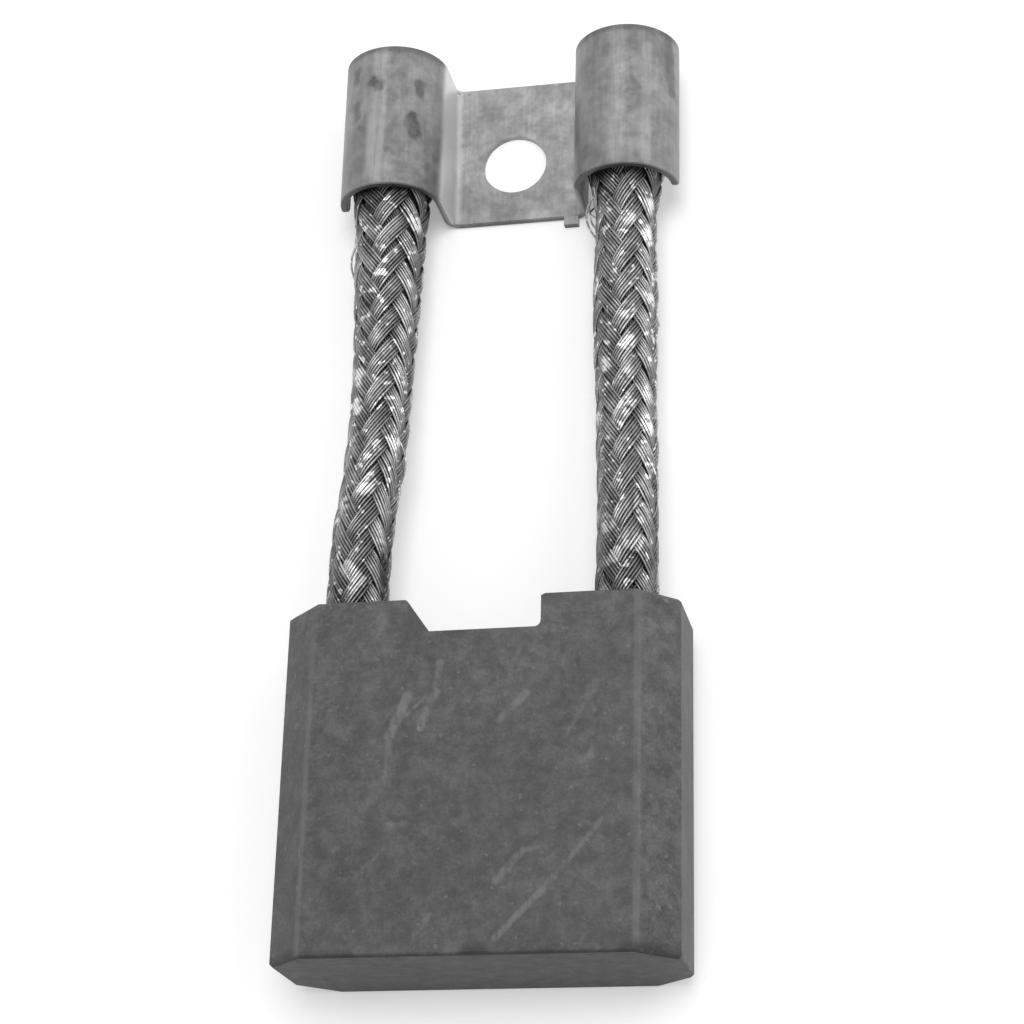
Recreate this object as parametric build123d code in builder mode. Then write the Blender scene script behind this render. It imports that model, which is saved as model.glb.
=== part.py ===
"""Carbon brush for a heavy-duty starter motor, in millimetres, lying on its back.

A pressed block of metal graphite carries two braided copper leads, which are
moulded into it. Their other ends sit in the two rolled barrels of one stamped
strip, whose flat middle has the hole for the terminal screw.

+Y runs along the brush, from its contact face to the terminal. +Z is the
block's thickness. The origin is the bottom centre of the whole brush, on the
surface that it lies on.
"""
import os
from math import radians, tan

from build123d import *

os.makedirs("parts", exist_ok=True)

# Block
block_width = 25.0
block_thickness = 10.0
block_length = 22.3
long_edge_chamfer = 2.4
rim_break = 0.2
notch_width = 8.4
notch_depth = 2.2
notch_corner_radius = 0.4

# Braided leads. Each bow moves the middle of a lead off the straight line between
# its ends: towards the middle of the brush, and upwards.
lead_diameter = 4.2
lead_foot_spacing = 17.4
lead_socket_depth = 8.0
lead_socket_clearance = 0.05
lead_free_length = 31.3
lead_foot_run = 3.7
lead_flare_run = 4.0
lead_left_bow = (0.25, 0.1)
lead_right_bow = (-0.05, -0.15)

# The braid opens out towards the barrel, and is soldered solid inside it
flare_length = 6.3
flare_mouth_diameter = 5.0
flare_seat_length = 1.2
lead_end_setback = 0.5

# Terminal strip
strip_thickness = 0.5
strip_height = 10.9
strip_edge_break = 0.08
barrel_outer_diameter = 7.2
barrel_spacing = 16.4
barrel_clearance = 0.05
barrel_lip_drop = 0.3
lip_corner_radius = 0.5
plate_bend_radius = 0.6
screw_hole_diameter = 4.5
screw_hole_offset = (-0.3, -0.9)

# Nib left on the plate's near edge, where the strip was cropped from its carrier
nib_width = 1.0
nib_length = 0.6
nib_past_bend_line = 0.3

# Levels along the brush
overall_length = block_length + lead_free_length + strip_height
contact_y = -overall_length / 2
spring_face_y = contact_y + block_length
strip_start_y = spring_face_y + lead_free_length
strip_end_y = strip_start_y + strip_height
screw_hole_x, screw_hole_rise = screw_hole_offset
screw_hole_y = (strip_start_y + strip_end_y) / 2 + screw_hole_rise

# Places across the brush, and heights above the surface that it lies on
lead_foot_x = lead_foot_spacing / 2
lead_foot_z = block_thickness / 2
lead_radius = lead_diameter / 2
barrel_x = barrel_spacing / 2
barrel_radius = barrel_outer_diameter / 2
barrel_bore_radius = barrel_radius - strip_thickness
barrel_z = barrel_radius
leg_x = barrel_x - barrel_radius
lip_z = barrel_z - barrel_lip_drop
bend_line_x = leg_x - plate_bend_radius


# Block: pressed to shape, with bevelled long edges, the notch that the spring
# presses in, and a socket for each lead
with BuildPart() as brush_block:
    with BuildSketch():
        with Locations((0, contact_y)):
            Rectangle(block_width, block_length, align=(Align.CENTER, Align.MIN))
        with Locations((0, spring_face_y)):
            Rectangle(notch_width, 2 * notch_depth, mode=Mode.SUBTRACT)
    extrude(amount=block_thickness)
    notch_floor = brush_block.faces().filter_by(Axis.Y).sort_by(Axis.Y)[1]
    fillet(notch_floor.edges().filter_by(Axis.Z), notch_corner_radius)
    long_edges = brush_block.edges().filter_by(Axis.Y).group_by(Edge.length)[-1]
    chamfer(long_edges, long_edge_chamfer)
    spring_faces = brush_block.faces().filter_by(Axis.Y).group_by(Axis.Y)[-1]
    contact_face = brush_block.faces().filter_by(Axis.Y).sort_by(Axis.Y)[0]
    chamfer(spring_faces.edges() + contact_face.edges(), rim_break)
    with BuildSketch(Plane.XZ.offset(-spring_face_y)):
        with Locations((-lead_foot_x, lead_foot_z), (lead_foot_x, lead_foot_z)):
            Circle(lead_radius + lead_socket_clearance)
    extrude(amount=lead_socket_depth, mode=Mode.SUBTRACT)

brush_block.part.label = "brush_block"
export_step(brush_block.part, "parts/brush_block.step")


def braided_lead(side, bow):
    """One lead, from the floor of its socket in the block to its soldered end in the barrel."""
    foot_x = side * lead_foot_x
    tip_x = side * barrel_x
    bow_inwards, bow_up = bow
    socket_floor = Vector(foot_x, spring_face_y - lead_socket_depth, lead_foot_z)
    foot = Vector(foot_x, spring_face_y + lead_foot_run, lead_foot_z)
    flare_start = Vector(tip_x, strip_start_y - flare_length, barrel_z)
    before_flare = flare_start - Vector(0, lead_flare_run, 0)
    middle = (foot + before_flare) / 2 + Vector(-side * bow_inwards, 0, bow_up)
    points = [socket_floor, foot, middle, before_flare, flare_start]
    runs = [end - start for start, end in zip(points, points[1:])]
    radii = []
    for before, after in zip(runs, runs[1:]):
        half_turn = radians(before.get_angle(after)) / 2
        radii.append(0.45 * min(before.length, after.length) / tan(half_turn))

    seat_radius = barrel_bore_radius - barrel_clearance
    seat_y = strip_start_y + flare_seat_length
    lead_end_y = strip_end_y - lead_end_setback
    with BuildPart() as lead:
        with BuildLine():
            route = FilletPolyline(*points, radius=radii)
        with BuildSketch(Plane(origin=route @ 0, z_dir=route % 0)):
            Circle(lead_radius)
        sweep()
        with BuildSketch(Plane.XY.offset(barrel_z)):
            with BuildLine():
                Polyline(
                    (tip_x, flare_start.Y),
                    (tip_x + lead_radius, flare_start.Y),
                    (tip_x + flare_mouth_diameter / 2, strip_start_y),
                    (tip_x + seat_radius, seat_y),
                    (tip_x + seat_radius, lead_end_y),
                    (tip_x, lead_end_y),
                    close=True,
                )
            make_face()
        revolve(axis=Axis((tip_x, 0, barrel_z), (0, 1, 0)))
    print("lead at x =", round(tip_x, 2), "has bend radii of", [round(radius) for radius in radii])
    print("route", [tuple(round(value, 3) for value in point) for point in points])
    return lead


for name, side, bow in (("shunt_left", -1, lead_left_bow), ("shunt_right", 1, lead_right_bow)):
    shunt = braided_lead(side, bow)
    shunt.part.label = name
    export_step(shunt.part, f"parts/{name}.step")


def strip_surface(depth):
    """Draw one surface of the strip's section, depth below its front, and return its two ends."""
    leg_side = leg_x + depth
    plate_z = strip_thickness - depth
    radius = barrel_radius - depth
    channel = FilletPolyline(
        (-leg_side, barrel_z),
        (-leg_side, plate_z),
        (leg_side, plate_z),
        (leg_side, barrel_z),
        radius=plate_bend_radius + depth,
    )
    ends = []
    for side, leg_top in ((-1, channel @ 0), (1, channel @ 1)):
        outer_side = side * (barrel_x + radius)
        crown_top = (side * barrel_x, barrel_z + radius)
        crown = ThreePointArc(leg_top, crown_top, (outer_side, barrel_z))
        lip = Line(crown @ 1, (outer_side, lip_z))
        ends.append(lip @ 1)
    return ends


# Terminal: one stamped strip, flat in the middle and rolled over a lead at each side
with BuildPart() as terminal:
    with BuildSketch(Plane.XZ.offset(-strip_start_y)):
        with BuildLine():
            for front_end, back_end in zip(strip_surface(0), strip_surface(strip_thickness)):
                Line(front_end, back_end)
        make_face()
    extrude(amount=-strip_height)
    level_faces = terminal.faces().filter_by(Axis.Z).sort_by(Axis.X)
    lips = ShapeList([level_faces[0], level_faces[-1]])
    fillet(lips.edges().filter_by(Axis.X), lip_corner_radius)
    with Locations((screw_hole_x, screw_hole_y, strip_thickness)):
        Hole(screw_hole_diameter / 2)
    cut_faces = terminal.faces().filter_by(Axis.Y)
    chamfer(cut_faces.edges(), strip_edge_break)
    with BuildSketch():
        with Locations((bend_line_x + nib_past_bend_line, strip_start_y + nib_length)):
            Rectangle(nib_width, 2 * nib_length, align=(Align.MAX, Align.MAX))
    extrude(amount=strip_thickness)

terminal.part.label = "terminal"
export_step(terminal.part, "parts/terminal.step")
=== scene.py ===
"""Looks of a carbon brush lying on its back: finishes, braided leads, light and camera.

Sizes are in metres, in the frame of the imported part: +Y runs along the brush from its
contact face to the terminal, and +Z points up from the surface that it lies on.
"""
import math

import bpy
import numpy as np
from mathutils import Matrix, Vector


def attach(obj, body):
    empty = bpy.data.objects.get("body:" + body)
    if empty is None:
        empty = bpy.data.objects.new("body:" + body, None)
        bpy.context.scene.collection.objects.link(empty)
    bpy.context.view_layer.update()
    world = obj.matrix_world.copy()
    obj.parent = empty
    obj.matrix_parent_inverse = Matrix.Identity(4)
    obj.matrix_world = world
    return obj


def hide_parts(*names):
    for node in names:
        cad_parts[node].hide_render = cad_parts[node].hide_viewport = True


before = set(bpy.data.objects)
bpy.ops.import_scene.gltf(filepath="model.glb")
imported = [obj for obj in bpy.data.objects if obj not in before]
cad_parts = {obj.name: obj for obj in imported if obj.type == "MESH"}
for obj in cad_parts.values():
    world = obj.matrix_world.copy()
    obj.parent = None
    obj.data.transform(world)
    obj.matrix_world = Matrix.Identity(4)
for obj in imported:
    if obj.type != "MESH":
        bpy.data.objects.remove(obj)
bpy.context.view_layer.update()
MM = 0.001

# Centre line of each lead, in metres: the control points of its route in the part, from
# the socket in the block to the soldered end in the barrel
LEFT_ROUTE = [
    (-0.0087, -0.01795, 0.0050),
    (-0.0091, -0.00625, 0.0050),
    (-0.0082, 0.0024, 0.0044),
    (-0.0082, 0.01105, 0.0036),
    (-0.0082, 0.01505, 0.0036),
    (-0.0082, 0.03175, 0.0036),
]
RIGHT_ROUTE = [
    (0.0087, -0.01795, 0.0050),
    (0.0087, -0.00625, 0.0050),
    (0.0085, 0.0024, 0.00415),
    (0.0082, 0.01105, 0.0036),
    (0.0082, 0.01505, 0.0036),
    (0.0082, 0.03175, 0.0036),
]
SPRING_FACE_Y = -9.95 * MM
BARREL_START_Y = 21.35 * MM
HOLE_CENTRE = (-0.3 * MM, 25.9 * MM, 0.25 * MM)

# Outer radius of each braid along Y, in mm. The left one opens out more towards its barrel.
LEFT_RADIUS = [
    (-17.95, 2.09), (-9.95, 2.09), (-6.0, 2.05), (5.0, 2.06), (13.0, 2.27),
    (15.2, 2.40), (17.7, 2.52), (20.8, 2.52), (22.6, 2.98), (31.75, 2.98),
]
RIGHT_RADIUS = [
    (-17.95, 2.09), (-9.95, 2.09), (-6.0, 2.05), (5.0, 2.06), (13.4, 2.27),
    (17.0, 2.13), (20.4, 2.08), (22.8, 2.98), (31.75, 2.98),
]
CARRIERS_EACH_WAY = 8
WIRES_PER_CARRIER = 6
WIRE_RADIUS = 0.095 * MM
WIRE_SIDES = 5
WIRE_STEP_IN_RADII = 2.02
WEAVE_DEPTH = 0.13 * MM
TWIST_RATE = 2 * math.pi / (19.0 * MM)
FLOATS_DRAWN = 64
CORE_SIDES = 40
CUT_END_SPACING = 0.265 * MM
CUT_END_ROW_RISE = 0.87
CUT_END_RADIUS = 0.105 * MM
CUT_END_SIDES = 7
BROKEN_WIRE_RADIUS = 0.075 * MM

# Broken wires that stand off each braid: (y in mm, angle round the lead in degrees,
# length in mm, how far out in mm)
LEFT_BROKEN = [
    (-4.5, 170, 2.6, 0.35), (8.0, 185, 3.0, 0.3), (15.5, 175, 2.4, 0.35), (0.5, 20, 2.4, 0.25),
]
RIGHT_BROKEN = [
    (17.6, 168, 2.6, 0.75), (18.4, 155, 2.2, 0.55), (16.4, 178, 2.8, 0.55), (19.2, 186, 1.6, 0.6),
    (14.6, 172, 2.4, 0.4), (6.0, 185, 2.4, 0.25), (-2.0, 5, 2.6, 0.25), (10.5, 8, 2.2, 0.3),
]

# Marks of wear and stains, and marks of painted highlight and painted shade, where the photograph
# shows them: (start, end, half width, strength), in mm
BLOCK_SCRATCHES = [
    ((-5.1, -21.8, 10), (-5.0, -18.8, 10), 0.34, 0.45),
    ((-5.0, -18.8, 10), (-4.0, -16.3, 10), 0.44, 0.85),
    ((-3.1, -18.3, 10), (-2.2, -16.0, 10), 0.40, 0.85),
    ((-2.2, -16.0, 10), (-2.0, -14.2, 10), 0.34, 0.60),
    ((-4.6, -18.1, 10), (-2.9, -16.4, 10), 0.16, 0.60),
    ((1.8, -18.0, 10), (3.4, -16.4, 10), 0.36, 0.75),
    ((1.8, -27.9, 10), (3.4, -26.1, 10), 0.34, 0.70),
    ((3.4, -26.1, 10), (4.4, -26.0, 10), 0.22, 0.50),
    ((1.9, -31.3, 10), (5.3, -27.8, 10), 0.30, 0.80),
    ((5.3, -27.8, 10), (8.1, -24.4, 10), 0.22, 0.55),
    ((-3.0, -31.0, 10), (-2.1, -29.9, 10), 0.26, 0.55),
    ((-6.9, -27.6, 10), (-5.2, -25.9, 10), 0.18, 0.35),
    ((-4.9, -24.4, 10), (-3.9, -24.4, 10), 0.46, 0.50),
    ((7.2, -16.8, 10), (7.6, -15.9, 10), 0.35, 0.45),
    ((7.0, -20.7, 10), (7.6, -20.2, 10), 0.42, 0.60),
    ((5.9, -19.2, 10), (6.9, -17.3, 10), 0.22, 0.40),
]
# Dark marks along the contact face's rim: chipping, and painted shade where the bevels meet the
# contact face
RIM_CHIPS_AND_SHADE = [
    ((-12.3, -32.25, 7.6), (-11.0, -32.25, 8.9), 0.70, 0.8),
    ((-11.0, -32.25, 8.9), (-9.4, -32.25, 9.5), 1.00, 1.0),
    ((-9.4, -32.25, 9.5), (-7.0, -32.25, 9.6), 0.85, 0.9),
    ((9.9, -32.25, 9.6), (11.4, -32.25, 8.6), 1.10, 1.0),
    ((11.4, -32.25, 8.6), (12.3, -32.25, 7.7), 0.70, 0.8),
    ((-4.9, -32.25, 8.9), (-4.1, -32.25, 9.1), 0.85, 0.9),
    ((0.4, -32.2, 9.7), (0.9, -32.2, 9.7), 1.00, 1.0),
    ((4.5, -32.2, 9.9), (5.1, -32.2, 9.9), 0.45, 0.6),
]
# Lighter streaks along the barrels: polish, and painted highlight
STRIP_POLISH_AND_HIGHLIGHT = [
    ((-8.5, 22.0, 7.1), (-8.5, 31.6, 7.1), 0.80, 0.7),
    ((-8.8, 22.4, 7.1), (-8.7, 26.6, 7.1), 0.95, 1.0),
    ((8.05, 22.0, 7.1), (8.15, 31.6, 7.1), 0.80, 0.6),
    ((10.0, 22.0, 6.7), (10.1, 30.6, 6.7), 0.55, 0.5),
]
STRIP_STAINS_AND_SHADE = [
    ((-9.0, 29.7, 7.1), (-8.6, 29.1, 7.1), 0.62, 0.9),
    ((-6.2, 26.6, 6.6), (-6.0, 25.5, 6.5), 0.72, 1.0),
    ((-5.9, 29.4, 6.4), (-5.8, 28.8, 6.3), 0.60, 0.8),
    ((-10.4, 30.8, 6.4), (-10.3, 30.1, 6.5), 0.55, 0.7),
    ((-10.3, 28.0, 6.5), (-10.2, 27.2, 6.6), 0.50, 0.6),
    ((-9.9, 26.2, 6.7), (-9.6, 25.9, 6.8), 0.40, 0.5),
    ((-7.7, 24.0, 7.2), (-7.4, 23.6, 7.2), 0.35, 0.5),
    # Painted shade down the right barrel's right flank
    ((11.3, 31.8, 5.4), (11.5, 28.0, 5.0), 0.85, 0.7),
    ((9.2, 27.9, 7.0), (9.5, 27.3, 7.0), 0.40, 0.5),
    ((-4.5, 32.0, 0.8), (-0.2, 31.9, 0.8), 0.22, 0.6),
    ((-4.2, 22.1, 0.8), (3.0, 22.1, 0.8), 0.20, 0.5),
]
BRAID_SHINE = [
    ((-9.4, -6.2, 7.0), (-8.3, -7.3, 7.0), 0.75, 0.70),
    ((9.6, 0.0, 6.7), (9.7, -0.4, 6.6), 0.60, 0.90),
    ((9.8, -1.7, 6.5), (9.6, -3.2, 6.7), 0.48, 0.80),
    ((8.1, -2.8, 6.8), (8.0, -4.4, 6.8), 0.45, 0.60),
    ((9.8, -5.3, 6.6), (9.5, -5.9, 6.7), 0.58, 0.90),
    ((8.2, -6.2, 6.8), (8.1, -6.6, 6.8), 0.58, 0.70),
]
BRAID_PAINTED_SHADE = [
    ((-7.0, -5.7, 5.6), (-7.0, -6.9, 5.5), 0.85, 1.00),
    ((7.4, 1.0, 6.4), (7.4, 0.4, 6.4), 0.65, 0.60),
    ((9.9, -4.2, 6.4), (10.0, -4.5, 6.4), 0.60, 0.45),
    ((7.7, -7.6, 6.7), (7.7, -8.4, 6.7), 0.80, 0.60),
]

# Painted light and shade across the strip's width, on the barrels' flanks and the plate: (from x,
# to x, in mm, factor)
STRIP_PAINTED_LIGHT_BANDS = [
    (-8.6, -7.6, 0.94), (-6.6, -4.9, 1.12), (-4.5, -3.5, 0.90),
    (-2.5, 3.0, 1.14), (4.4, 5.2, 0.88), (9.2, 10.6, 1.14),
]


def point_camera():
    """The photograph's view: from above, low towards the contact face and a little to the right."""
    target = Vector((1.36, -2.87, 6.0)) * MM
    distance = 160.9 * MM
    focal_in_frame_widths = 2516 / 1024
    sensor_width = 36
    side = math.radians(12.45)
    low = math.radians(22.20)
    roll = math.radians(1.50)

    back = Vector((math.sin(side) * math.cos(low), -math.sin(low), math.cos(side) * math.cos(low)))
    right = Vector((0, 1, 0)).cross(back).normalized()
    up = back.cross(right)
    turned_right = right * math.cos(roll) + up * math.sin(roll)
    turned_up = up * math.cos(roll) - right * math.sin(roll)

    camera_data = bpy.data.cameras.new("camera")
    camera_data.sensor_width = sensor_width
    camera_data.lens = sensor_width * focal_in_frame_widths
    camera_data.clip_start = 0.01
    camera = bpy.data.objects.new("camera", camera_data)
    bpy.context.scene.collection.objects.link(camera)
    turn = Matrix((turned_right, turned_up, back)).transposed().to_4x4()
    camera.matrix_world = Matrix.Translation(target + back * distance) @ turn
    bpy.context.scene.camera = camera


class Nodes:
    """A new material, and short ways to add the nodes that colour it."""

    def __init__(self, name):
        self.material = bpy.data.materials.new(name)
        self.material.use_nodes = True
        self.tree = self.material.node_tree
        self.shader = self.tree.nodes["Principled BSDF"]
        self.place = self.add("ShaderNodeTexCoord").outputs["Object"]

    def add(self, kind, **settings):
        node = self.tree.nodes.new(kind)
        for key, value in settings.items():
            setattr(node, key, value)
        return node

    def put(self, socket, value):
        if isinstance(value, bpy.types.NodeSocket):
            self.tree.links.new(value, socket)
        else:
            socket.default_value = value

    def math(self, operation, first, second=0.0, clamp=False):
        node = self.add("ShaderNodeMath", operation=operation, use_clamp=clamp)
        self.put(node.inputs[0], first)
        self.put(node.inputs[1], second)
        return node.outputs[0]

    def product(self, first, *others):
        for other in others:
            first = self.math("MULTIPLY", first, other)
        return first

    def vector(self, operation, first, second=(0, 0, 0), output="Vector"):
        node = self.add("ShaderNodeVectorMath", operation=operation)
        self.put(node.inputs[0], first)
        self.put(node.inputs[1], second)
        return node.outputs[output]

    def axes(self, vector=None):
        """X, Y and Z of a vector, or else of the place on the object."""
        node = self.add("ShaderNodeSeparateXYZ")
        self.put(node.inputs[0], vector or self.place)
        return node.outputs

    def ramp(self, value, low, high, from_value=0.0, to_value=1.0):
        """Smooth step of a value from low to high."""
        node = self.add("ShaderNodeMapRange", interpolation_type="SMOOTHSTEP")
        for socket, number in zip(node.inputs, (value, low, high, from_value, to_value)):
            self.put(socket, number)
        return node.outputs[0]

    def noise(self, size, detail, stretch=(1, 1, 1), roughness=0.55, output="Fac"):
        """Noise whose blotches are about size across, in metres."""
        scaled = self.vector("MULTIPLY", self.place, tuple(part / size for part in stretch))
        node = self.add("ShaderNodeTexNoise")
        self.put(node.inputs["Vector"], scaled)
        node.inputs["Scale"].default_value = 1.0
        node.inputs["Detail"].default_value = detail
        node.inputs["Roughness"].default_value = roughness
        return node.outputs[output]

    def wavy_place(self, size, reach):
        """The place on the object, pushed to and fro by noise, for marks with ragged edges."""
        noise = self.noise(size, 3, roughness=0.5, output="Color")
        push = self.vector("SUBTRACT", noise, (0.5, 0.5, 0.5))
        return self.vector("ADD", self.place, self.vector("MULTIPLY", push, (reach,) * 3))

    def stroke(self, start, end, half_width, place):
        """1 on a straight mark from start to end, fading to 0 at half_width from it."""
        start, end = Vector(start) * MM, Vector(end) * MM
        run = end - start
        from_start = self.vector("SUBTRACT", place, tuple(start))
        along = self.vector("DOT_PRODUCT", from_start, tuple(run / run.length_squared), "Value")
        along = self.math("ADD", along, 0.0, clamp=True)
        nearest = self.scaled(tuple(run), along)
        gap = self.vector("DISTANCE", from_start, nearest, "Value")
        return self.ramp(gap, half_width * MM * 0.3, half_width * MM, 1.0, 0.0)

    def marks(self, strokes, place=None):
        """The strongest of several strokes, each (start, end, half width, strength)."""
        strongest = 0.0
        for start, end, half_width, strength in strokes:
            mark = self.stroke(start, end, half_width, place or self.place)
            strongest = self.math("MAXIMUM", strongest, self.product(mark, strength))
        return strongest

    def mix(self, share, first, second):
        """A colour from first to second, as share goes from 0 to 1."""
        node = self.add("ShaderNodeMix", data_type="RGBA")
        self.put(node.inputs["Factor"], share)
        self.put(node.inputs["A"], first)
        self.put(node.inputs["B"], second)
        return node.outputs["Result"]

    def scaled(self, vector, factor):
        """A colour or vector times a factor."""
        node = self.add("ShaderNodeVectorMath", operation="SCALE")
        self.put(node.inputs[0], vector)
        self.put(node.inputs["Scale"], factor)
        return node.outputs[0]

    def darkened(self, colour, share, factor):
        """A colour that falls to factor times itself as share goes from 0 to 1."""
        return self.scaled(colour, self.ramp(share, 0.0, 1.0, 1.0, factor))

    def bump(self, height, distance, strength, under=None):
        node = self.add("ShaderNodeBump")
        node.inputs["Strength"].default_value = strength
        node.inputs["Distance"].default_value = distance
        self.put(node.inputs["Height"], height)
        if under is not None:
            self.put(node.inputs["Normal"], under)
        return node.outputs["Normal"]


def grey(level):
    return (level, level, level, 1)


def metal_graphite():
    """Pressed and sintered powder: dark, dull, finely grained, with rubbed scratches, painted light
    on the bevels, and painted shade along the contact face and its rim.
    """
    n = Nodes("metal_graphite")
    x, y, z = n.axes()
    clouds = n.noise(5.0 * MM, 3)
    blotches = n.noise(1.7 * MM, 3, roughness=0.6)
    mottle = n.noise(0.9 * MM, 4, roughness=0.7)
    grain = n.noise(0.16 * MM, 2, roughness=0.8)
    colour = n.mix(n.ramp(clouds, 0.3, 0.7), grey(0.073), grey(0.088))
    colour = n.scaled(colour, n.ramp(blotches, 0.34, 0.66, 0.87, 1.11))
    colour = n.scaled(colour, n.ramp(mottle, 0.36, 0.64, 0.76, 1.22))
    colour = n.scaled(colour, n.ramp(grain, 0.3, 0.72, 0.84, 1.18))
    colour = n.scaled(colour, n.ramp(y, -26 * MM, -11 * MM, 0.95, 1.09))
    flecks = n.ramp(n.noise(0.50 * MM, 2), 0.62, 0.76)
    colour = n.mix(n.product(flecks, 0.42), colour, grey(0.20))

    fine = n.noise(0.35 * MM, 2, stretch=(1.0, 0.45, 1.0))
    scratches = n.product(n.marks(BLOCK_SCRATCHES), n.ramp(fine, 0.34, 0.62, 0.25, 1.0))
    colour = n.mix(n.product(scratches, 0.58), colour, grey(0.22))

    # Bevels painted a little lighter than the top, more on the right, as painted light, with a
    # painted highlight and rubbing along their upper edges
    off_middle = n.math("ABSOLUTE", x)
    off_line = n.math("ABSOLUTE", n.math("SUBTRACT", off_middle, 10.2 * MM))
    rubbed = n.ramp(n.noise(1.4 * MM, 3, stretch=(1.0, 0.3, 1.0)), 0.35, 0.62, 0.35, 1.0)
    bevel_highlight_and_rub = n.product(
        n.ramp(off_line, 0.06 * MM, 0.34 * MM, 1.0, 0.0), rubbed,
        n.ramp(z, 9.5 * MM, 9.9 * MM),
    )
    colour = n.mix(n.product(bevel_highlight_and_rub, 0.40), colour, grey(0.20))
    on_bevel = n.product(
        n.ramp(off_middle, 10.15 * MM, 10.35 * MM), n.ramp(z, 9.95 * MM, 9.75 * MM),
    )
    painted_bevel_light = n.product(on_bevel, n.ramp(x, -1 * MM, 1 * MM, 0.10, 0.22))
    colour = n.scaled(colour, n.math("ADD", painted_bevel_light, 1.0))

    # The contact face painted darker, as painted shade
    on_contact_face = n.ramp(y, -32.20 * MM, -32.05 * MM, 1.0, 0.0)
    colour = n.darkened(colour, on_contact_face, 0.50)
    # Dark marks along the rim: chipping, and painted shade at the bevels' ends
    chip_and_shade_breakup = n.noise(0.5 * MM, 3, roughness=0.7)
    chips_and_shade = n.product(n.marks(RIM_CHIPS_AND_SHADE), n.ramp(chip_and_shade_breakup, 0.30, 0.48))
    colour = n.mix(n.product(chips_and_shade, 0.85), colour, grey(0.025))

    n.put(n.shader.inputs["Base Color"], colour)
    n.put(n.shader.inputs["Roughness"], n.ramp(mottle, 0.3, 0.7, 0.50, 0.66))
    n.shader.inputs["Specular IOR Level"].default_value = 0.3
    normal = n.bump(grain, 0.03 * MM, 0.55)
    normal = n.bump(mottle, 0.05 * MM, 0.4, normal)
    n.put(n.shader.inputs["Normal"], normal)
    return n.material


def tinned_strip():
    """Stamped strip with a dull tin coat that has stains, drawn along Y by the rolling, with
    painted highlights and painted shade.
    """
    n = Nodes("tinned_strip")
    x, y, z = n.axes()
    clouds = n.noise(2.6 * MM, 4, roughness=0.6)
    smudges = n.noise(0.8 * MM, 4, roughness=0.7)
    drawn = n.noise(0.30 * MM, 3, stretch=(1.0, 0.06, 1.0))
    grain = n.noise(0.12 * MM, 2, roughness=0.7)
    colour = n.mix(n.ramp(clouds, 0.35, 0.68), grey(0.285), grey(0.395))
    colour = n.scaled(colour, n.ramp(smudges, 0.32, 0.68, 0.83, 1.13))
    colour = n.scaled(colour, n.ramp(drawn, 0.3, 0.7, 0.92, 1.07))
    colour = n.scaled(colour, n.ramp(z, 1.2 * MM, 4.0 * MM, 1.0, 0.77))
    colour = n.scaled(colour, n.ramp(y, 22.0 * MM, 28.0 * MM, 0.85, 0.94))
    # Bands of painted light and shade across the strip's width
    for low, high, factor in STRIP_PAINTED_LIGHT_BANDS:
        colour = n.scaled(colour, n.ramp(x, low * MM, high * MM, 1.0, factor))

    # Lighter streaks along the barrels, partly polish and partly painted highlight
    polish_and_highlight = n.product(n.marks(STRIP_POLISH_AND_HIGHLIGHT), n.ramp(drawn, 0.3, 0.6, 0.6, 1.0))
    colour = n.mix(n.product(polish_and_highlight, 0.45), colour, grey(0.52))

    # Painted highlight on the legs between the plate and the barrels, where they bend
    off_middle = n.math("ABSOLUTE", x)
    on_leg = n.product(
        n.ramp(off_middle, 4.1 * MM, 4.5 * MM), n.ramp(off_middle, 5.0 * MM, 4.7 * MM),
        n.ramp(z, 4.8 * MM, 3.8 * MM), n.ramp(z, 0.4 * MM, 1.2 * MM, 0.35, 1.0),
    )
    colour = n.mix(n.product(on_leg, 0.90), colour, grey(0.78))
    far_edge = n.product(n.ramp(y, 31.4 * MM, 32.15 * MM), n.ramp(z, 3.0 * MM, 5.0 * MM))
    colour = n.darkened(colour, far_edge, 0.60)

    # Dark stains on the strip, and painted shade on the right barrel's right flank
    ragged_place = n.wavy_place(0.9 * MM, 0.9 * MM)
    stains_and_shade = n.product(n.marks(STRIP_STAINS_AND_SHADE, ragged_place), n.ramp(smudges, 0.32, 0.60, 0.50, 1.0))
    colour = n.mix(n.product(stains_and_shade, 0.95), colour, grey(0.07))

    # Cut ends painted darker, as painted shade, but not the hole's wall
    facing = n.axes(n.add("ShaderNodeNewGeometry").outputs["True Normal"])
    from_hole = n.vector("DISTANCE", n.place, HOLE_CENTRE, "Value")
    painted_cut_edge_shade = n.product(
        n.ramp(n.math("ABSOLUTE", facing["Y"]), 0.55, 0.85),
        n.ramp(from_hole, 2.5 * MM, 2.8 * MM),
    )
    colour = n.darkened(colour, painted_cut_edge_shade, 0.42)

    n.put(n.shader.inputs["Base Color"], colour)
    n.shader.inputs["Metallic"].default_value = 0.6
    n.put(n.shader.inputs["Roughness"], n.ramp(smudges, 0.3, 0.7, 0.34, 0.50))
    normal = n.bump(drawn, 0.02 * MM, 0.5)
    normal = n.bump(smudges, 0.06 * MM, 0.35, normal)
    normal = n.bump(grain, 0.01 * MM, 0.4, normal)
    n.put(n.shader.inputs["Normal"], normal)
    return n.material


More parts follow.
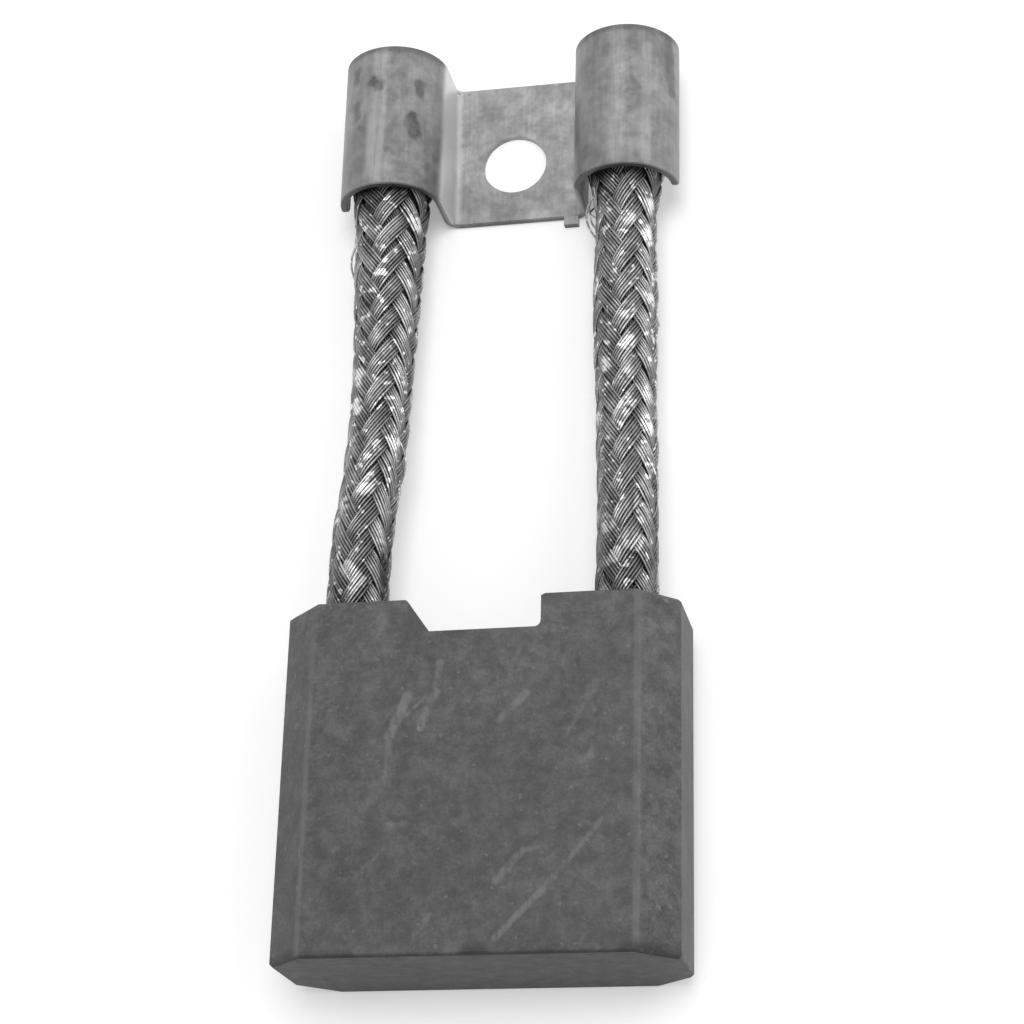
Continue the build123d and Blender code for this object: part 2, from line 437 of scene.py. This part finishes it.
def tinned_wire():
    """Fine tinned copper wires: dull and dusty, with painted shade deep in the braid and painted
    highlights on some crowns.
    """
    n = Nodes("tinned_braid")
    tone, depth, shine = (
        n.add("ShaderNodeAttribute", attribute_name=name).outputs["Fac"]
        for name in ("wire_tone", "wire_depth", "wire_shine")
    )
    y = n.axes()["Y"]
    blotches = n.noise(1.4 * MM, 3, roughness=0.65)
    specks = n.noise(0.22 * MM, 2, stretch=(1.0, 0.5, 1.0))
    colour = n.mix(tone, grey(0.20), grey(0.36))
    colour = n.scaled(colour, n.ramp(blotches, 0.34, 0.66, 0.66, 1.14))

    # Painted highlights on the floats' crowns, on scattered flecks and at listed marks
    patches = n.ramp(n.noise(0.6 * MM, 2, roughness=0.6), 0.36, 0.56, 0.2, 1.0)
    flecks = n.product(
        n.ramp(n.noise(0.62 * MM, 1), 0.60, 0.70), n.ramp(depth, 0.2, 0.6, 1.0, 0.0),
        n.ramp(y, 31.3 * MM, 31.6 * MM, 1.0, 0.0), 0.8,
    )
    painted_highlights = n.math("MAXIMUM", n.product(shine, patches), flecks)
    painted_highlights = n.math("MAXIMUM", painted_highlights, n.marks(BRAID_SHINE))
    colour = n.mix(n.ramp(painted_highlights, 0.08, 0.60), colour, grey(0.74))

    colour = n.scaled(colour, n.ramp(specks, 0.3, 0.7, 0.84, 1.12))
    # Painted shade deep in the braid: on wires where they dive under, and on the core
    colour = n.scaled(colour, n.ramp(depth, 0.0, 1.0, 1.1, 0.35))
    # Painted shade in hollows of the braid
    colour = n.darkened(colour, n.marks(BRAID_PAINTED_SHADE), 0.35)
    colour = n.scaled(colour, n.ramp(y, -10.0 * MM, 2.0 * MM, 0.62, 1.0))
    # Painted shadow of the barrel's mouth on the lead just before it
    colour = n.scaled(colour, n.ramp(y, 19.3 * MM, 21.2 * MM, 1.0, 0.55))
    n.put(n.shader.inputs["Base Color"], colour)
    n.shader.inputs["Metallic"].default_value = 0.85
    n.put(n.shader.inputs["Roughness"], n.ramp(blotches, 0.3, 0.7, 0.28, 0.44))
    n.put(n.shader.inputs["Normal"], n.bump(specks, 0.012 * MM, 0.5))
    return n.material


def line_of(route):
    """Points along the smooth line that has the route's points as its control points."""
    curve = bpy.data.curves.new("route", "CURVE")
    curve.dimensions = "3D"
    curve.resolution_u = 24
    spline = curve.splines.new("NURBS")
    spline.points.add(len(route) - 1)
    for control, place in zip(spline.points, route):
        control.co = (*place, 1)
    spline.order_u = 3
    spline.use_endpoint_u = True
    holder = bpy.data.objects.new("route", curve)
    bpy.context.scene.collection.objects.link(holder)
    mesh = bpy.data.meshes.new_from_object(holder)
    points = np.array([tuple(vertex.co) for vertex in mesh.vertices])
    bpy.data.meshes.remove(mesh)
    bpy.data.objects.remove(holder)
    bpy.data.curves.remove(curve)
    return points


def frames_along(points, step):
    """Evenly spaced places on a line, with two directions across it and the length so far."""
    reach = np.concatenate([[0], np.cumsum(np.linalg.norm(np.diff(points, axis=0), axis=1))])
    count = int(round(reach[-1] / step)) + 1
    along = np.linspace(0, reach[-1], count)
    centre = np.stack([np.interp(along, reach, points[:, axis]) for axis in range(3)], axis=1)
    tangent = np.gradient(centre, along, axis=0)
    tangent /= np.linalg.norm(tangent, axis=1)[:, None]
    across = np.array([1.0, 0, 0]) - tangent * tangent[:, :1]
    across /= np.linalg.norm(across, axis=1)[:, None]
    return centre, across, np.cross(tangent, across), along


def waves(rng, along, lengths, draw_height):
    """A sum of sine waves of the given lengths, in mm, along a lead."""
    return sum(
        draw_height() * np.sin(along / (length * MM) + rng.uniform(0, 6.28))
        for length in lengths
    )


class LeadLine:
    """A lead's centre line with two directions across it, and its braid's radius along it."""

    def __init__(self, route, radius_along, rng):
        frames = frames_along(line_of(route), 0.3 * MM)
        seen = frames[0][:, 1] > SPRING_FACE_Y - 0.9 * MM
        self.centre, self.across, self.upward, self.along = (part[seen] for part in frames)
        self.y = self.centre[:, 1]

        stations, radii = np.array(radius_along).T * MM
        outer = np.interp(self.y, stations, radii)
        outer = np.convolve(np.pad(outer, 6, mode="edge"), np.ones(13) / 13, mode="valid")
        uneven = waves(rng, self.along, (0.9, 1.5, 2.7), lambda: rng.uniform(0.4, 1))
        self.outer = outer - 0.035 * MM + 0.012 * MM * uneven
        self.soldered = np.clip((self.y - BARREL_START_Y) / (2 * MM), 0, 1)
        self.core_radius = self.outer - 0.42 * MM + 0.26 * MM * self.soldered


def tube_faces(tube_count, stations, sides):
    """Faces of closed tubes, whose corners run ring by ring and tube by tube."""
    start = np.arange(tube_count)[:, None, None] * stations * sides
    rung = np.arange(stations - 1)[None, :, None] * sides
    side = np.arange(sides)[None, None, :]
    near, far = start + rung + side, start + rung + (side + 1) % sides
    faces = np.stack([near, far, far + sides, near + sides], axis=-1).reshape(-1, 4).tolist()
    for tube in range(tube_count):
        first = tube * stations * sides
        last = first + (stations - 1) * sides
        faces.append([first + index for index in reversed(range(sides))])
        faces.append([last + index for index in range(sides)])
    return faces


def tubes(paths, outward, radius, sides):
    """Closed tubes along many paths of equal length: their corners and faces."""
    tangent = np.gradient(paths, axis=1)
    tangent /= np.linalg.norm(tangent, axis=2)[..., None]
    first = outward - tangent * np.sum(outward * tangent, axis=2)[..., None]
    first /= np.linalg.norm(first, axis=2)[..., None]
    second = np.cross(tangent, first)
    turn = np.linspace(0, 2 * np.pi, sides, endpoint=False)
    ring = (first[:, :, None] * np.cos(turn)[None, None, :, None]
            + second[:, :, None] * np.sin(turn)[None, None, :, None])
    corners = (paths[:, :, None] + radius * ring).reshape(-1, 3)
    return corners, tube_faces(paths.shape[0], paths.shape[1], sides)


def float_height(weave):
    """+1 where one set of carriers floats over two of the other, -1 where it dives under two."""
    return np.sin(np.pi / 2 * np.cos(2 * np.pi * (weave - 0.5) / 4))


# Each of these four makes one part of a lead: its corners and faces, and the tone, depth
# and shine of each corner.


def woven_wires(line, rng):
    """Carriers of parallel wires, woven over two and under two."""
    along = line.along
    middle = line.outer - WEAVE_DEPTH - WIRE_RADIUS
    slow_twist = 0.05 * np.sin(along / (5.1 * MM) + rng.uniform(0, 6.28))
    crossings_per_radian = CARRIERS_EACH_WAY / (2 * np.pi)
    slant = 1 / np.cos(np.arctan(TWIST_RATE * middle))
    float_shine = rng.uniform(0, 1, (2, CARRIERS_EACH_WAY, FLOATS_DRAWN)) ** 2.4
    paths, normals, tones, depths, shines = [], [], [], [], []
    for way in (1, -1):
        for carrier in range(CARRIERS_EACH_WAY):
            lean = rng.normal(0, 0.02)
            lift = rng.uniform(0.8, 1.15)
            ragged = waves(rng, along, (0.7, 1.2, 2.3), lambda: rng.normal(0, 0.5))
            for wire in range(WIRES_PER_CARRIER):
                place = wire - (WIRES_PER_CARRIER - 1) / 2
                spread = place * WIRE_STEP_IN_RADII * WIRE_RADIUS * slant / middle
                wander = waves(rng, along, (0.55, 1.1, 2.1), lambda: rng.normal(0, 0.5))
                angle = (way * TWIST_RATE * along + 2 * np.pi * carrier / CARRIERS_EACH_WAY
                         + slow_twist + lean + spread + 0.012 * ragged + 0.010 * wander)
                crossing = (angle - slow_twist + way * TWIST_RATE * along) * crossings_per_radian
                height = way * float_height(carrier + crossing)
                crown = 0.05 * MM * (place / 2.5) ** 2
                weave = WEAVE_DEPTH * height * lift * (1 - 0.55 * line.soldered)
                radius = middle + weave - crown + 0.014 * MM * ragged + 0.010 * MM * wander
                radius = np.minimum(radius, line.outer - WIRE_RADIUS + 0.05 * MM)
                out = line.across * np.cos(angle)[:, None] + line.upward * np.sin(angle)[:, None]
                paths.append(line.centre + out * radius[:, None])
                normals.append(out)
                tones.append(rng.uniform(0, 1))
                depths.append(np.clip(0.5 - 0.5 * height, 0, 1) * (1 - line.soldered))

                # Each float has its own shine, strongest at its middle
                floats = (carrier + crossing - (0.5 if way > 0 else 2.5)) / 4
                number = np.round(floats).astype(int)
                peak = np.cos(np.clip((floats - number) * 3.2, -0.5, 0.5) * np.pi)
                peak = peak * (1 - (place / 3.3) ** 2)
                drawn = float_shine[(1 - way) // 2, carrier, number % FLOATS_DRAWN]
                shines.append(drawn * peak)
    corners, faces = tubes(np.array(paths), np.array(normals), WIRE_RADIUS, WIRE_SIDES)
    tone = np.repeat(np.array(tones), len(along) * WIRE_SIDES)
    depth = np.repeat(np.array(depths).reshape(-1), WIRE_SIDES)
    shine = np.repeat(np.array(shines).reshape(-1), WIRE_SIDES)
    return corners, faces, tone, depth, shine


def filled_core(line):
    """The wires inside the weave, as one rod that widens into the solder."""
    turn = np.linspace(0, 2 * np.pi, CORE_SIDES, endpoint=False)
    ring = (line.across[:, None] * np.cos(turn)[None, :, None]
            + line.upward[:, None] * np.sin(turn)[None, :, None])
    corners = line.centre[:, None] + line.core_radius[:, None, None] * ring
    # The core's depth makes the material paint it in shade, less so in the solder
    depth = np.repeat(1 - 0.8 * line.soldered, CORE_SIDES)
    faces = tube_faces(1, len(line.along), CORE_SIDES)
    return corners.reshape(-1, 3), faces, 0 * depth + 0.4, depth, 0 * depth


def cut_ends(line, rng):
    """Cut ends of the wires, in the solder that fills the braid's end."""
    tip, across, upward = line.centre[-1], line.across[-1], line.upward[-1]
    forward = np.cross(across, upward)
    forward *= np.sign(forward[1])
    paths = []
    for row in range(-9, 10):
        for column in range(-9, 10):
            side = (column + 0.5 * (row % 2)) * CUT_END_SPACING + rng.normal(0, 0.02) * MM
            high = row * CUT_END_SPACING * CUT_END_ROW_RISE + rng.normal(0, 0.02) * MM
            if math.hypot(side, high) > line.core_radius[-1] - 0.10 * MM:
                continue
            root = tip + across * side + upward * high
            top = root + forward * rng.uniform(0.03, 0.14) * MM
            paths.append([root - forward * 0.1 * MM, top])
    outward = np.tile(across, (len(paths), 2, 1))
    corners, faces = tubes(np.array(paths), outward, CUT_END_RADIUS, CUT_END_SIDES)
    tone = np.repeat(rng.uniform(0, 1, len(paths)), 2 * CUT_END_SIDES)
    return corners, faces, tone, 0 * tone + 0.15, 0 * tone


def broken_wires(line, rows, rng):
    """Wires that have broken and stand off the braid."""
    share = np.linspace(0, 1, 12)
    paths, outward = [], []
    for y, turned, length, stand_off in rows:
        start = int(np.argmin(np.abs(line.y - y * MM)))
        reach = line.along[start] + share * length * MM
        angle = math.radians(turned) + TWIST_RATE * (reach - reach[0]) * rng.choice((-1, 1))
        bow = np.sin(share * np.pi * 0.85) * stand_off * MM
        radius = np.interp(reach, line.along, line.outer) - 1.5 * WIRE_RADIUS + bow
        centre = [np.interp(reach, line.along, line.centre[:, axis]) for axis in range(3)]
        out = (line.across[start] * np.cos(angle)[:, None]
               + line.upward[start] * np.sin(angle)[:, None])
        paths.append(np.stack(centre, axis=1) + out * radius[:, None])
        outward.append(out)
    corners, faces = tubes(np.array(paths), np.array(outward), BROKEN_WIRE_RADIUS, WIRE_SIDES)
    plain = np.zeros(len(corners))
    return corners, faces, plain + 0.9, plain, plain + 0.3


def braid(name, node, route, radius_along, seed, broken):
    """A lead: a braid woven round a filled core, with its wires' cut and broken ends."""
    rng = np.random.default_rng(seed)
    line = LeadLine(route, radius_along, rng)
    parts = [
        woven_wires(line, rng),
        filled_core(line),
        cut_ends(line, rng),
        broken_wires(line, broken, rng),
    ]
    all_faces, offset = [], 0
    for corners, faces, *_ in parts:
        all_faces.extend([[index + offset for index in face] for face in faces])
        offset += len(corners)
    mesh = bpy.data.meshes.new(name)
    mesh.from_pydata(np.concatenate([part[0] for part in parts]).tolist(), [], all_faces)
    for attribute, position in (("wire_tone", 2), ("wire_depth", 3), ("wire_shine", 4)):
        values = np.concatenate([part[position] for part in parts]).astype(np.float32)
        mesh.attributes.new(attribute, "FLOAT", "POINT").data.foreach_set("value", values)
    mesh.shade_smooth()
    mesh.update()
    lead = bpy.data.objects.new(name, mesh)
    bpy.context.scene.collection.objects.link(lead)
    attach(lead, "root")
    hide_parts(node)
    return lead


def seen_directly(tree):
    """1 for what the camera, reflections and glass show, and 0 for what lights the object."""
    rays = tree.nodes.new("ShaderNodeLightPath").outputs
    directly = rays["Is Camera Ray"]
    for other in ("Is Glossy Ray", "Is Transmission Ray"):
        either = tree.nodes.new("ShaderNodeMath")
        either.operation = "MAXIMUM"
        tree.links.new(directly, either.inputs[0])
        tree.links.new(rays[other], either.inputs[1])
        directly = either.outputs[0]
    return directly


def lay_floor():
    """White to the camera and in reflections, and still darker in the brush's shadow."""
    floor_mesh = bpy.data.meshes.new("floor")
    half = 2.0
    corners = [(-half, -half, 0), (half, -half, 0), (half, half, 0), (-half, half, 0)]
    floor_mesh.from_pydata(corners, [], [(0, 1, 2, 3)])
    floor = bpy.data.objects.new("floor", floor_mesh)
    bpy.context.scene.collection.objects.link(floor)
    n = Nodes("floor")
    n.shader.inputs["Base Color"].default_value = grey(0.82)
    n.shader.inputs["Roughness"].default_value = 0.9
    n.shader.inputs["Specular IOR Level"].default_value = 0.1
    far_off = n.vector("LENGTH", n.place, output="Value")
    strength = n.product(seen_directly(n.tree), n.ramp(far_off, 0.10, 0.50, 0.28, 0.75))
    glow = n.add("ShaderNodeEmission")
    n.put(glow.inputs["Strength"], strength)
    both = n.add("ShaderNodeAddShader")
    n.put(both.inputs[0], n.shader.outputs[0])
    n.put(both.inputs[1], glow.outputs[0])
    n.put(n.tree.nodes["Material Output"].inputs["Surface"], both.outputs[0])
    floor_mesh.materials.append(n.material)


def area_light(name, place, aim, size, power):
    data = bpy.data.lights.new(name, "AREA")
    data.shape = "DISK"
    data.size = size
    data.energy = power
    lamp = bpy.data.objects.new(name, data)
    lamp.location = place
    lamp.rotation_euler = (Vector(aim) - Vector(place)).to_track_quat("-Z", "Y").to_euler()
    bpy.context.scene.collection.objects.link(lamp)


def light_scene():
    """Plain studio light from above and from the right, in a world that looks white."""
    world = bpy.data.worlds.new("studio")
    world.use_nodes = True
    tree = world.node_tree
    strength = tree.nodes.new("ShaderNodeMapRange")
    tree.links.new(seen_directly(tree), strength.inputs["Value"])
    strength.inputs["To Min"].default_value = 0.52
    strength.inputs["To Max"].default_value = 1.0
    background = tree.nodes["Background"]
    background.inputs["Color"].default_value = grey(1)
    tree.links.new(strength.outputs["Result"], background.inputs["Strength"])
    bpy.context.scene.world = world
    bpy.context.scene.view_settings.view_transform = "Standard"
    area_light("key", (0.06, 0.02, 0.50), (0, 0.005, 0), 0.24, 1.15)
    area_light("fill", (0.34, 0.10, 0.34), (0, 0, 0), 0.30, 0.34)


def dress(node, material):
    """Give a CAD node's own object a finish."""
    for slot in bpy.data.objects[node].material_slots:
        slot.link = "OBJECT"
        slot.material = material


point_camera()
lead_left = braid("braid_left", "shunt_left", LEFT_ROUTE, LEFT_RADIUS, 11, LEFT_BROKEN)
lead_right = braid("braid_right", "shunt_right", RIGHT_ROUTE, RIGHT_RADIUS, 23, RIGHT_BROKEN)
wire_finish = tinned_wire()
lead_left.data.materials.append(wire_finish)
lead_right.data.materials.append(wire_finish)
dress("brush_block", metal_graphite())
dress("terminal", tinned_strip())
lay_floor()
light_scene()
